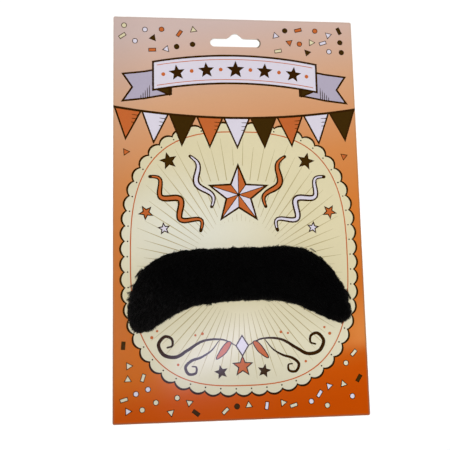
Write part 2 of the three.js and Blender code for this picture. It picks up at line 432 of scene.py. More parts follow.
def line(points, width, ends=(1.0, 1.0), swell=1.0):
    """A drawn line: width along its middle, ends its width's share at each end, swell over 1 fattens the middle."""
    p = np.asarray(points, float)
    n = normals(p, False)
    s = np.linspace(0, 1, len(p))
    share = ends[0] + (ends[1] - ends[0]) * s
    share = share + (swell - share) * np.sin(np.pi * s) ** 1.2
    h = (width / 2 * share)[:, None]
    left, right = p + n * h, p - n * h
    cap = []
    for end, side in ((-1, 1), (0, -1)):
        t = np.array([n[end, 1], -n[end, 0]]) * side
        a = np.linspace(0, math.pi, 5)[1:-1]
        r = h[end, 0]
        first = n[end] * side
        cap.append([p[end] + first * r * math.cos(x) + t * r * math.sin(x) for x in a])
    return np.vstack([left, cap[0], right[::-1], cap[1]])


def grown(polygon, by):
    """The polygon with its edge moved outwards."""
    p = np.asarray(polygon, float)
    x, y = p[:, 0], p[:, 1]
    if np.sum(x * np.roll(y, -1) - np.roll(x, -1) * y) < 0:
        p = p[::-1]
    e = np.roll(p, -1, 0) - p
    e /= np.maximum(np.linalg.norm(e, axis=1, keepdims=True), 1e-9)
    out = np.stack([e[:, 1], -e[:, 0]], 1)
    before = np.roll(out, 1, 0)
    m = out + before
    m /= np.maximum(np.linalg.norm(m, axis=1, keepdims=True), 1e-9)
    reach = by / np.maximum((m * out).sum(1), 0.42)
    return p + m * reach[:, None]


def star(x, y, r, turn=0.0, inner=0.42, points=5):
    a = np.radians(90 + turn) + np.arange(2 * points) * math.pi / points
    rr = np.where(np.arange(2 * points) % 2 == 0, r, r * inner)
    return np.stack([x + rr * np.cos(a), y + rr * np.sin(a)], 1)


def disc(x, y, r, n=14, squash=1.0, turn=0.0):
    a = np.arange(n) * 2 * math.pi / n
    c, s = math.cos(math.radians(turn)), math.sin(math.radians(turn))
    u, v = r * np.cos(a), r * squash * np.sin(a)
    return np.stack([x + u * c - v * s, y + u * s + v * c], 1)


# ---- The plaque behind the moustache ----
PLAQUE = {"x": 0.4, "y": -27.5, "half_width": 70.6, "half_height": 81.6, "power": 2.75}
SCALLOPS = {"count": 54, "depth": 2.3}


def plaque_line(inset, n=432):
    """The plaque's plain edge, moved inwards."""
    a = np.arange(n) * 2 * math.pi / n
    k = 2 / PLAQUE["power"]
    c, s = np.cos(a), np.sin(a)
    p = np.stack(
        [
            PLAQUE["x"] + PLAQUE["half_width"] * np.sign(c) * np.abs(c) ** k,
            PLAQUE["y"] + PLAQUE["half_height"] * np.sign(s) * np.abs(s) ** k,
        ],
        1,
    )
    q = np.vstack([p, p[:1]])
    along = np.concatenate([[0], np.cumsum(np.linalg.norm(np.diff(q, axis=0), axis=1))])
    even = np.linspace(0, along[-1], n, endpoint=False)
    p = np.stack([np.interp(even, along, q[:, i]) for i in (0, 1)], 1)
    return p + normals(p, True) * inset


def scalloped(extra=0.0):
    n = SCALLOPS["count"] * 10
    p = plaque_line(0.0, n)
    lobe = np.abs(np.sin(np.arange(n) / 10 * math.pi)) ** 0.75
    return p - normals(p, True) * (SCALLOPS["depth"] * lobe + extra)[:, None]


def banner_middle(x):
    return 87.5 + 4.6 * (1 - (x / 50.0) ** 2)


def strip(x0, x1, high, low, n=24):
    """A band that follows the banner's arch, between two heights from its middle."""
    x = np.linspace(x0, x1, n)
    m = banner_middle(x)
    return np.vstack([np.stack([x, m + high], 1), np.stack([x, m + low], 1)[::-1]])


def string_at(x):
    return 59.6 + 6.6 * (x / 77.5) ** 2


PENNANTS = [
    {"x": -68.5, "ink": "rust"},
    {"x": -51.5, "ink": "lavender"},
    {"x": -34.3, "ink": "band"},
    {"x": -17.1, "ink": "rust"},
    {"x": 0.0, "ink": "lavender"},
    {"x": 17.1, "ink": "band"},
    {"x": 34.3, "ink": "rust"},
    {"x": 51.5, "ink": "lavender"},
    {"x": 68.5, "ink": "band"},
]
PENNANT = {"half_width": 7.4, "length": 17.5}

# Streamers in the plaque's upper half: where each starts and ends, how far it waves, and its ink
STREAMERS = [
    {"x0": -55.0, "y0": 22.0, "x1": -24.0, "y1": -12.0, "waves": 2.5, "swing": 4.4, "ink": "rust"},
    {"x0": 55.0, "y0": 22.0, "x1": 24.0, "y1": -12.0, "waves": 2.5, "swing": -4.4, "ink": "lavender"},
    {"x0": -30.0, "y0": 35.0, "x1": -17.0, "y1": 3.0, "waves": 1.5, "swing": 3.2, "ink": "lavender"},
    {"x0": 30.0, "y0": 35.0, "x1": 17.0, "y1": 3.0, "waves": 1.5, "swing": -3.2, "ink": "rust"},
]

SMALL_STARS = [
    {"x": -43.5, "y": 32.0, "r": 4.2, "turn": 14, "ink": "band"},
    {"x": 43.5, "y": 32.0, "r": 4.2, "turn": -14, "ink": "band"},
    {"x": -57.5, "y": -0.5, "r": 3.4, "turn": 30, "ink": "rust"},
    {"x": 57.5, "y": -0.5, "r": 3.4, "turn": -30, "ink": "rust"},
    {"x": -46.5, "y": -10.5, "r": 2.6, "turn": 8, "ink": "lavender"},
    {"x": 46.5, "y": -10.5, "r": 2.6, "turn": -8, "ink": "lavender"},
    {"x": 0.0, "y": -94.5, "r": 5.2, "turn": 0, "ink": "rust"},
    {"x": -13.0, "y": -97.6, "r": 2.7, "turn": 12, "ink": "band"},
    {"x": 13.0, "y": -97.6, "r": 2.7, "turn": -12, "ink": "band"},
]


def confetti(rng, count, low, high, keep):
    """Rows of scattered bits: x, y, turn, kind and ink. None lies within 6.5 mm of another."""
    rows = []
    tries = 0
    while len(rows) < count and tries < 4000:
        tries += 1
        x, y = rng.uniform(low[0], high[0]), rng.uniform(low[1], high[1])
        turn, kind, ink = rng.uniform(0, 180), rng.integers(3), rng.integers(4)
        if keep(x, y) and all(math.hypot(x - r["x"], y - r["y"]) > 6.5 for r in rows):
            rows.append(
                {
                    "x": x,
                    "y": y,
                    "turn": turn,
                    "kind": ("bar", "dot", "wedge")[kind],
                    "ink": ("cream", "lavender", "rust", "band")[ink],
                }
            )
    return rows


def card_print():
    """The whole print as (ink, outline) pairs, in the order in which they are laid down."""
    shapes = []

    def paint(ink, polygon):
        shapes.append((ink, np.asarray(polygon, float)))

    def outlined(ink, polygon, width=1.1):
        paint("dark", grown(polygon, width))
        paint(ink, polygon)

    rng = np.random.default_rng(41)

    # Scattered bits on the ground, clear of the plaque, the banner and the slot
    k = PLAQUE["power"]

    def on_ground(x, y):
        u = abs(x - PLAQUE["x"]) / (PLAQUE["half_width"] + 8)
        v = abs(y - PLAQUE["y"]) / (PLAQUE["half_height"] + 8)
        by_banner = y > 58 and not (y > 104 and abs(x) > 26)
        by_bunting = abs(y - string_at(x) + 9) < 15
        return u**k + v**k > 1 and not by_banner and not by_bunting

    bits = confetti(rng, 60, (-72, -121), (72, 121), on_ground)
    for b in bits:
        c, s = math.cos(math.radians(b["turn"])), math.sin(math.radians(b["turn"]))
        if b["kind"] == "bar":
            q = np.array([(-2.0, -0.8), (2.0, -0.8), (2.0, 0.8), (-2.0, 0.8)])
        elif b["kind"] == "wedge":
            q = np.array([(-1.7, -1.0), (1.7, -1.0), (0.0, 1.9)])
        else:
            q = disc(0, 0, 1.35)
        q = np.stack([b["x"] + q[:, 0] * c - q[:, 1] * s, b["y"] + q[:, 0] * s + q[:, 1] * c], 1)
        outlined("cream" if b["ink"] == "rust" and b["y"] < 20 else b["ink"], q, 0.45)

    # The plaque, with its line and beads
    paint("dark", scalloped(1.3))
    paint("cream", scalloped(0.0))
    paint("rust", plaque_line(2.9))
    paint("cream", plaque_line(3.6))
    for p in plaque_line(1.35, SCALLOPS["count"])[:]:
        paint("dark", disc(p[0], p[1], 0.5, 8))

    # Fine rays over the plaque, out from behind the moustache
    centre = np.array([0.0, -36.0])
    for i in range(72):
        a = math.radians(i * 5 + 2.5)
        d = np.array([math.cos(a), math.sin(a)])
        far = plaque_line(7.0, 720) - centre
        ang = np.arctan2(far[:, 1], far[:, 0])
        j = int(np.argmin(np.abs(np.angle(np.exp(1j * (ang - a))))))
        reach = np.linalg.norm(far[j]) * (1.0 if i % 2 else 0.93)
        start = 30.0 if d[1] > 0 else 27.0
        if reach > start + 6:
            t = np.linspace(start, reach, 7)[:, None]
            paint("fine", line(centre + d * t, 0.55, (0.25, 0.25), 1.0))

    # The big star, in light and dark halves
    sx, sy, sr = 0.0, 10.5, 17.5
    whole = star(sx, sy, sr)
    paint("cream", grown(whole, 3.4))
    outlined("rust", whole, 1.2)
    for i in range(0, 10, 2):
        paint("lavender", [(sx, sy), whole[i], whole[(i + 1) % 10]])
    for i in range(10):
        seam = np.linspace((sx, sy), whole[i], 5)
        paint("dark", line(seam, 0.5, (1.0, 1.0)))

    # Streamers
    for s in STREAMERS:
        a, b = np.array([s["x0"], s["y0"]]), np.array([s["x1"], s["y1"]])
        t = np.linspace(0, 1, 46)[:, None]
        d = (b - a) / np.linalg.norm(b - a)
        side = np.array([-d[1], d[0]])
        swing = s["swing"] * np.sin(t * s["waves"] * 2 * math.pi) * (0.75 + 0.35 * t)
        path = a + (b - a) * t + side * swing
        paint("dark", line(path, 4.3, (0.5, 0.5), 1.0))
        paint(s["ink"], line(path[1:-1], 2.1, (0.35, 0.35), 1.0))

    for r in SMALL_STARS:
        outlined(r["ink"], star(r["x"], r["y"], r["r"], r["turn"]), 0.7)

    # Scrolls under the moustache
    for m in (-1, 1):
        stem = smooth(
            [(m * x, y) for x, y in ((3.0, -82.6), (12.0, -78.4), (23.5, -78.9), (33.0, -84.2), (40.0, -88.0), (47.2, -86.6), (50.4, -80.6), (46.8, -75.9), (42.6, -77.2), (42.2, -81.2), (45.2, -82.4))],
            20,
        )
        paint("dark", line(stem, 1.9, (0.3, 0.55), 1.15))
        curl = smooth(
            [(m * x, y) for x, y in ((14.0, -78.9), (18.6, -84.6), (24.6, -88.4), (30.6, -90.4), (34.4, -94.0), (32.6, -98.2), (28.4, -97.8), (28.0, -94.4), (30.4, -93.8))],
            20,
        )
        paint("dark", line(curl, 1.6, (0.3, 0.5), 1.1))
        for x, y, r in ((54.4, -76.2, 1.0), (51.2, -72.4, 0.75), (24.0, -74.6, 0.9), (28.3, -75.4, 0.7), (38.8, -92.6, 0.8)):
            paint("rust", disc(m * x, y, r, 12))
        leaf = [(m * x, y) for x, y in ((7.0, -80.8), (10.3, -86.2), (15.6, -89.6), (12.3, -83.7), (9.0, -80.2))]
        outlined("rust", smooth(leaf, 9, True), 0.6)
    outlined("lavender", [(0, -77.0), (3.3, -82.3), (0, -87.6), (-3.3, -82.3)], 0.8)

    # The banner, its tails first
    for m in (-1, 1):
        x = np.linspace(42.0, 70.5, 10)
        mid = banner_middle(np.minimum(x, 58.0)) - 5.0 - 0.12 * np.maximum(x - 58.0, 0)
        top = np.stack([x, mid + 8.2], 1)
        low = np.stack([x, mid - 8.2], 1)[::-1]
        tail = np.vstack([top, [(65.0, mid[-1])], low])
        tail[:, 0] *= m
        outlined("shade", tail, 1.2)
        for i in range(5):
            hx = 54.9 + i * 1.35
            y = float(np.interp(hx, x, mid))
            seg = np.linspace((m * hx, y - 8.2), (m * hx, y - 0.6 - i * 1.4), 6)
            paint("dark", line(seg, 0.5, (1.0, 0.25)))
        y = banner_middle(52.0)
        fold = [(m * 50.3, y - 8.7), (m * 43.0, banner_middle(43.0) - 8.4), (m * 43.0, banner_middle(43.0) - 13.2)]
        outlined("band", fold, 1.1)
    body = strip(-52.0, 52.0, 8.6, -8.6, 40)
    outlined("lavender", body, 1.3)
    for high in (6.9, -6.5):
        paint("rust", strip(-50.3, 50.3, high, high - 0.45, 40))
    for i, x in enumerate((-37.5, -18.8, 0.0, 18.8, 37.5)):
        slope = math.degrees(math.atan(-2 * 4.6 * x / 2500.0))
        paint("dark", star(x, banner_middle(x) - 0.2, 5.4 if i != 2 else 6.0, slope, 0.44))
    for x in (-46.2, -28.2, -9.6, 9.6, 28.2, 46.2):
        paint("rust", disc(x, banner_middle(x), 1.25, 14))

    # The bunting
    xs = np.linspace(-77.5, 77.5, 60)
    for p in PENNANTS:
        x0, x1 = p["x"] - PENNANT["half_width"], p["x"] + PENNANT["half_width"]
        a, b = np.array([x0, string_at(x0)]), np.array([x1, string_at(x1)])
        d = (b - a) / np.linalg.norm(b - a)
        down = np.array([d[1], -d[0]])
        tip = (a + b) / 2 + (down * 0.5 + np.array([0, -1]) * 0.5) * PENNANT["length"]
        outlined(p["ink"], [a, tip, b], 1.1)
        for u in (0.16, 0.30, 0.44) if p["ink"] != "band" else ():
            start = b + (tip - b) * u
            inner = start + (a + (tip - a) * u - start) * (0.34 - 0.35 * u)
            paint("dark", line(np.linspace(start, inner, 4), 0.45, (1.0, 0.3)))
    paint("dark", line(np.stack([xs, string_at(xs) + 0.4], 1), 1.5))
    return shapes


# ---- The card ----
CARD = {"half_width": card_high.x / MM, "half_length": card_high.y / MM, "corner": 1.2, "edge_round": 0.07}


def card_outline():
    w, h, r = CARD["half_width"], CARD["half_length"], CARD["corner"]
    points = []
    for cx, cy, a0 in ((w - r, -h + r, -90), (w - r, h - r, 0), (-w + r, h - r, 90), (-w + r, -h + r, 180)):
        for a in np.radians(np.linspace(a0, a0 + 90, 8)):
            points.append((cx + r * math.cos(a), cy + r * math.sin(a)))
    return np.array(points)


def bezier(a, b, c, d, n):
    t = np.linspace(0, 1, n)[:, None]
    a, b, c, d = (np.array(v, float) for v in (a, b, c, d))
    return a * (1 - t) ** 3 + b * 3 * (1 - t) ** 2 * t + c * 3 * (1 - t) * t**2 + d * t**3


def slot_outline():
    r = SLOT["height"] / 2
    x, low, high = SLOT["half_width"] - r, SLOT["low"], SLOT["low"] + SLOT["height"]
    foot, peak = SLOT["bump_half"], high + SLOT["bump_rise"]
    right = [(x + r * math.cos(a), low + r + r * math.sin(a)) for a in np.linspace(-math.pi / 2, math.pi / 2, 13)]
    left = [(-x + r * math.cos(a), low + r + r * math.sin(a)) for a in np.linspace(math.pi / 2, 1.5 * math.pi, 13)]
    rise = bezier((foot, high), (foot * 0.55, high), (foot * 0.45, peak), (0, peak), 11)
    fall = bezier((0, peak), (-foot * 0.45, peak), (-foot * 0.55, high), (-foot, high), 11)[1:]
    return np.vstack([right, rise, fall, left])


def inside(points, polygon):
    """Which points lie inside the outline, by how often it winds round them."""
    low, high = polygon.min(0), polygon.max(0)
    found = np.zeros(len(points), bool)
    near = np.flatnonzero(((points > low) & (points < high)).all(1))
    if len(near) == 0:
        return found
    a, b = polygon, np.roll(polygon, -1, 0)
    for start in range(0, len(near), 4000):
        some = near[start : start + 4000]
        px, py = points[some, 0][:, None], points[some, 1][:, None]
        left = (b[:, 0] - a[:, 0]) * (py - a[:, 1]) - (px - a[:, 0]) * (b[:, 1] - a[:, 1])
        up = (a[:, 1] <= py) & (b[:, 1] > py) & (left > 0)
        down = (a[:, 1] > py) & (b[:, 1] <= py) & (left < 0)
        found[some] = (up.sum(1) - down.sum(1)) != 0
    return found


def triangles_of(loops, keep):
    """A triangulation of the plane with all the loops' edges in it, cut to where keep says."""
    points, edges = [], []
    for loop in loops:
        first = len(points)
        points += [Vector(p) for p in loop]
        edges += [(first + i, first + (i + 1) % len(loop)) for i in range(len(loop))]
    made = delaunay_2d_cdt(points, edges, [], 0, 1e-6)
    xy = np.array([tuple(v) for v in made[0]])
    tri = np.array(made[2])
    centre = xy[tri].mean(1)
    area = np.cross(xy[tri[:, 1]] - xy[tri[:, 0]], xy[tri[:, 2]] - xy[tri[:, 0]])
    tri[area < 0] = tri[area < 0][:, ::-1]
    kept = keep(centre) & (np.abs(area) > 1e-9)
    return xy, tri[kept], centre[kept]


def boundary_loops(tri):
    """The open edges of a set of triangles, as loops with the faces on their left."""
    edges = np.vstack([tri[:, [0, 1]], tri[:, [1, 2]], tri[:, [2, 0]]])
    seen = {(int(a), int(b)) for a, b in edges}
    following = {a: b for a, b in seen if (b, a) not in seen}
    loops = []
    while following:
        a, b = following.popitem()
        loop = [a]
        while b != a:
            loop.append(b)
            b = following.pop(b)
        loops.append(loop)
    return loops


def build_card():
    r = CARD["edge_round"]
    face_edge = grown(card_outline(), -r)
    slot_edge = grown(slot_outline(), r)

    def on_card(p):
        return inside(p, face_edge) & ~inside(p, slot_edge)

    shapes = card_print()
    xy, tri, centre = triangles_of([face_edge, slot_edge] + [s for _, s in shapes], on_card)
    names = list(INKS)
    ink = np.zeros(len(tri), int)
    for name, polygon in shapes:
        ink[inside(centre, polygon)] = names.index(name)

    used = np.unique(tri)
    index = np.full(len(xy), -1)
    index[used] = np.arange(len(used))
    xy, tri = xy[used], index[tri]
    top = CARD_TOP
    vertices = [np.column_stack([xy, np.full(len(xy), top)])]
    faces = [tuple(t) for t in tri]
    slots = list(ink)
    uv = [tuple((0.01 + (xy[i, 0] + 77.5) / 155 * 0.6, 0.01 + (xy[i, 1] + 126) / 252 * 0.975) for i in t) for t in tri]
    edge_slot, back_slot = len(names), len(names) + 1
    count = len(xy)
    back_points, back_ids = [], []
    for loop in boundary_loops(tri):
        p = xy[loop]
        e = np.roll(p, -1, 0) - p
        e /= np.maximum(np.linalg.norm(e, axis=1, keepdims=True), 1e-9)
        out = np.stack([e[:, 1], -e[:, 0]], 1)
        m = out + np.roll(out, 1, 0)
        m /= np.maximum(np.linalg.norm(m, axis=1, keepdims=True), 1e-9)
        rings = [(p + m * r * 0.7, top - r * 0.3), (p + m * r, top - r), (p + m * r, r), (p + m * r * 0.7, r * 0.3), (p, 0.0)]
        along = np.concatenate([[0], np.cumsum(np.linalg.norm(np.diff(np.vstack([p, p[:1]]), axis=0), axis=1))])
        along /= along[-1]
        ids = [np.array(loop)]
        for q, z in rings:
            vertices.append(np.column_stack([q, np.full(len(q), z)]))
            ids.append(np.arange(count, count + len(q)))
            count += len(q)
        row = 0.62 if len(loop) > 60 and abs(p).max() > 70 else 0.66
        for k in range(len(ids) - 1):
            for i in range(len(loop)):
                j = (i + 1) % len(loop)
                faces.append((ids[k][i], ids[k + 1][i], ids[k + 1][j], ids[k][j]))
                slots.append(edge_slot)
                u0, u1 = 0.63 + along[i] * 0.35, 0.63 + along[i + 1] * 0.35
                v0, v1 = row + k * 0.006, row + (k + 1) * 0.006
                uv.append(((u0, v0), (u0, v1), (u1, v1), (u1, v0)))
        back_points.append(p)
        back_ids.append(ids[-1])
    low_xy, low_tri, _ = triangles_of(back_points, on_card)
    flat = np.vstack(back_points)
    ids = np.concatenate(back_ids)
    same = np.array([ids[int(np.argmin(((flat - q) ** 2).sum(1)))] for q in low_xy])
    for t in low_tri:
        faces.append(tuple(same[t[::-1]]))
        slots.append(back_slot)
        uv.append(tuple((0.63 + (77.5 - low_xy[i, 0]) / 155 * 0.35, 0.01 + (low_xy[i, 1] + 126) / 252 * 0.57) for i in t[::-1]))
    mesh = bpy.data.meshes.new("printed_card")
    mesh.from_pydata((np.vstack(vertices) * MM).tolist(), [], [tuple(int(i) for i in f) for f in faces])
    for name in names:
        mesh.materials.append(INKS[name])
    mesh.materials.append(card_edge_board)
    mesh.materials.append(card_back_board)
    mesh.polygons.foreach_set("material_index", np.array(slots, np.int32))
    layer = mesh.uv_layers.new(name="OFBake")
    layer.data.foreach_set("uv", np.array([c for f in uv for c in f], np.float32).ravel())
    mesh.validate()
    piece = bpy.data.objects.new("printed_card", mesh)
    scene.collection.objects.link(piece)
    return piece


printed_card = build_card()
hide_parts("display_card")
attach(printed_card, "root")


# ---- The moustache's outline and form, as its solid has them ----
SECTIONS = np.array(
    [
        (-66.3, -51.4, -69.8),
        (-62.4, -40.7, -72.5),
        (-56.0, -32.6, -71.3),
        (-48.0, -27.5, -66.9),
        (-38.0, -24.6, -61.1),
        (-26.0, -23.5, -56.9),
        (-12.0, -23.3, -55.3),
        (2.0, -22.9, -54.5),
        (16.0, -22.5, -54.7),
        (28.0, -22.1, -56.1),
        (38.0, -23.7, -59.7),
        (47.0, -27.6, -63.8),
        (55.0, -34.7, -67.2),
        (61.6, -44.4, -69.6),
        (65.6, -51.8, -67.5),
    ],
    dtype=[("x", float), ("top", float), ("bottom", float)],
)
TIPS = {"left": (-68.6, -61.4), "right": (67.6, -60.8)}
SPINE_END_INSET = 13.0
PILE_PROFILE = np.array(
    [
        (1.65, 1.35),
        (1.0, 0.95),
        (0.35, 1.4),
        (0.0, 2.5),
        (0.3, 4.0),
        (1.2, 5.4),
        (3.0, 6.6),
        (6.0, 7.4),
        (10.5, 7.9),
    ],
    dtype=[("inset", float), ("z", float)],
)
CROWN = {"inset": 13.0, "z": PILE_TOP}


def moustache_outline(n):
    """The closed outline, anticlockwise, as n evenly spaced points of a smooth curve."""
    lower = [(s["x"], s["bottom"]) for s in SECTIONS]
    upper = [(s["x"], s["top"]) for s in SECTIONS][::-1]
    p = np.array(lower + [TIPS["right"]] + upper + [TIPS["left"]])
    m = len(p)
    out = []
    for i in range(m):
        a, b, c, d = p[i - 1], p[i], p[(i + 1) % m], p[(i + 2) % m]
        t0 = 0.0
        t1 = t0 + math.sqrt(np.linalg.norm(b - a))
        t2 = t1 + math.sqrt(np.linalg.norm(c - b))
        t3 = t2 + math.sqrt(np.linalg.norm(d - c))
        t = np.linspace(t1, t2, 40, endpoint=False)[:, None]
        ab = (t1 - t) / (t1 - t0) * a + (t - t0) / (t1 - t0) * b
        bc = (t2 - t) / (t2 - t1) * b + (t - t1) / (t2 - t1) * c
        cd = (t3 - t) / (t3 - t2) * c + (t - t2) / (t3 - t2) * d
        abc = (t2 - t) / (t2 - t0) * ab + (t - t0) / (t2 - t0) * bc
        bcd = (t3 - t) / (t3 - t1) * bc + (t - t1) / (t3 - t1) * cd
        out.append((t2 - t) / (t2 - t1) * abc + (t - t1) / (t2 - t1) * bcd)
    p = np.vstack(out)
    q = np.vstack([p, p[:1]])
    along = np.concatenate([[0], np.cumsum(np.linalg.norm(np.diff(q, axis=0), axis=1))])
    even = np.linspace(0, along[-1], n, endpoint=False)
    return np.stack([np.interp(even, along, q[:, i]) for i in (0, 1)], 1)


def spine_y(x):
    return np.interp(x, SECTIONS["x"], (SECTIONS["top"] + SECTIONS["bottom"]) / 2)


def inset_ring(points, inset, most=0.8):
    """The outline moved inwards, towards the middle line and never past it."""
    n = -normals(points, True) * -1
    x = np.clip(points[:, 0] + n[:, 0] * 14, TIPS["left"][0] + SPINE_END_INSET, TIPS["right"][0] - SPINE_END_INSET)
    way = np.stack([x, spine_y(x)], 1) - points
    reach = np.linalg.norm(way, axis=1, keepdims=True)
    way /= reach
    turn = min(1.0, inset / 6)
    heading = n * (1 - turn) + way * turn
    heading /= np.linalg.norm(heading, axis=1, keepdims=True)
    return points + heading * np.minimum(inset, reach * most)


# Where the edge bulges: the place on it, how far along it the bulge goes, and how far out
BULGES = np.array(
    [
        (-60.5, -37.0, 4.0, 0.5),
        (-67.0, -51.0, 8.0, 1.0),
        (-68.6, -62.0, 5.0, -0.3),
        (-25.0, -23.5, 3.0, 0.3),
        (-5.0, -23.0, 2.5, 0.4),
        (2.0, -22.9, 2.5, 0.3),
        (40.0, -24.3, 7.0, 0.35),
        (52.0, -31.5, 3.0, 0.45),
        (58.0, -38.0, 4.0, 0.4),
        (67.2, -57.0, 2.0, -0.8),
        (68.0, -62.4, 3.6, 0.15),
        (-20.5, -56.0, 2.6, 0.6),
        (4.0, -54.6, 8.0, 0.2),
        (36.5, -59.0, 3.0, -0.6),
        (45.9, -63.3, 2.5, -0.3),
        (58.6, -68.9, 2.0, -0.5),
        (63.6, -69.2, 2.6, -0.5),
        (-45.0, -65.0, 2.2, -0.4),
    ],
    dtype=[("x", float), ("y", float), ("reach", float), ("out", float)],
)


def uneven(points):
    """The outline as the pile's tips reach it: combed out past the solid's edge, most of all below, a little wavy, and bulging here and there."""
    s = np.arange(len(points)) / len(points) * 2 * math.pi
    out = 0.10 * np.sin(31 * s + 0.4) + 0.08 * np.sin(53 * s + 1.9) + 0.06 * np.sin(89 * s + 4.0)
    for b in BULGES:
        away = np.hypot(points[:, 0] - b["x"], points[:, 1] - b["y"])
        out = out + b["out"] * np.exp(-((away / b["reach"]) ** 2))
    outward = -normals(points, True)
    return points + outward * (out + 0.68 - 0.42 * outward[:, 1])[:, None]


EDGE = uneven(moustache_outline(840))


def form_rings(edge, take_in=0.0, squash=1.0, to_spine=False):
    """Rings of the pile's outer form, from its foot round the outside to the crown."""
    rows = np.array([(r["inset"], r["z"]) for r in PILE_PROFILE] + [(CROWN["inset"], CROWN["z"])])
    fine = smooth(rows, 4)
    rings = []
    for inset, z in fine:
        z = PILE_FOOT + (z - PILE_FOOT) * squash
        ring = inset_ring(edge, max(inset, 0.0) + take_in)
        rings.append(np.column_stack([ring, np.full(len(ring), z)]))
    if to_spine:
        for share in (0.88, 0.99):
            ring = inset_ring(edge, 60.0, share)
            rings.append(np.column_stack([ring, np.full(len(ring), rings[-1][0, 2])]))
    return rings


def mesh_piece(name, vertices, faces, smooth_shaded=True):
    mesh = bpy.data.meshes.new(name)
    mesh.from_pydata((np.asarray(vertices) * MM).tolist(), [], [tuple(int(i) for i in f) for f in faces])
    mesh.validate()
    if smooth_shaded:
        mesh.polygons.foreach_set("use_smooth", np.ones(len(mesh.polygons), bool))
    piece = bpy.data.objects.new(name, mesh)
    scene.collection.objects.link(piece)
    return piece


def closed_rings(rings):
    """A closed skin over a stack of rings, capped at both ends."""
    n = len(rings[0])
    vertices = np.vstack(rings)
    faces = []
    for k in range(len(rings) - 1):
        for i in range(n):
            j = (i + 1) % n
            faces.append((k * n + i, k * n + j, (k + 1) * n + j, (k + 1) * n + i))
    for k, up in ((0, False), (len(rings) - 1, True)):
        loop = rings[k][:, :2]
        xy, tri, _ = triangles_of([loop], lambda c: inside(c, loop))
        same = np.array([int(np.argmin(((loop - q) ** 2).sum(1))) for q in xy]) + k * n
        for t in tri:
            faces.append(tuple(same[t] if up else same[t[::-1]]))
    return vertices, faces


# ---- The pile's dark heart, which the strands hide ----
def pile_core_material():
    m, nodes, links, shader = new_material("pile_heart")
    place = node(nodes, "ShaderNodeTexCoord")
    tufts = node(nodes, "ShaderNodeTexNoise", Scale=700.0, Detail=4.0, Roughness=0.7)
    links.new(place.outputs["Object"], tufts.inputs["Vector"])
    ramp = node(nodes, "ShaderNodeValToRGB")
    ramp.color_ramp.elements[0].color = (0.0008, 0.0008, 0.0008, 1)
    ramp.color_ramp.elements[1].color = (0.004, 0.0037, 0.0036, 1)
    links.new(tufts.outputs["Fac"], ramp.inputs["Fac"])
    links.new(ramp.outputs["Color"], shader.inputs["Base Color"])
    bump = node(nodes, "ShaderNodeBump", Strength=0.8, Distance=0.0004)
    links.new(tufts.outputs["Fac"], bump.inputs["Height"])
    links.new(bump.outputs["Normal"], shader.inputs["Normal"])
    shader.inputs["Roughness"].default_value = 0.95
    shader.inputs["Specular IOR Level"].default_value = 0.1
    return m


rng = np.random.default_rng(1907)
core_edge = uneven(moustache_outline(260))
core_rings = form_rings(core_edge, 0.75, 0.82)
core_vertices, core_faces = closed_rings(core_rings)
ripple = 0.22 * np.sin(core_vertices[:, 0] * 1.7 + core_vertices[:, 1] * 0.8) * np.sin(core_vertices[:, 1] * 1.9)
core_vertices[:, 2] = np.where(core_vertices[:, 2] > PILE_FOOT + 1.5, core_vertices[:, 2] + ripple, core_vertices[:, 2])
pile_heart = mesh_piece("pile_heart", core_vertices, core_faces)
pile_heart.data.materials.append(pile_core_material())
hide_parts("plush_pile")
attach(pile_heart, "root")


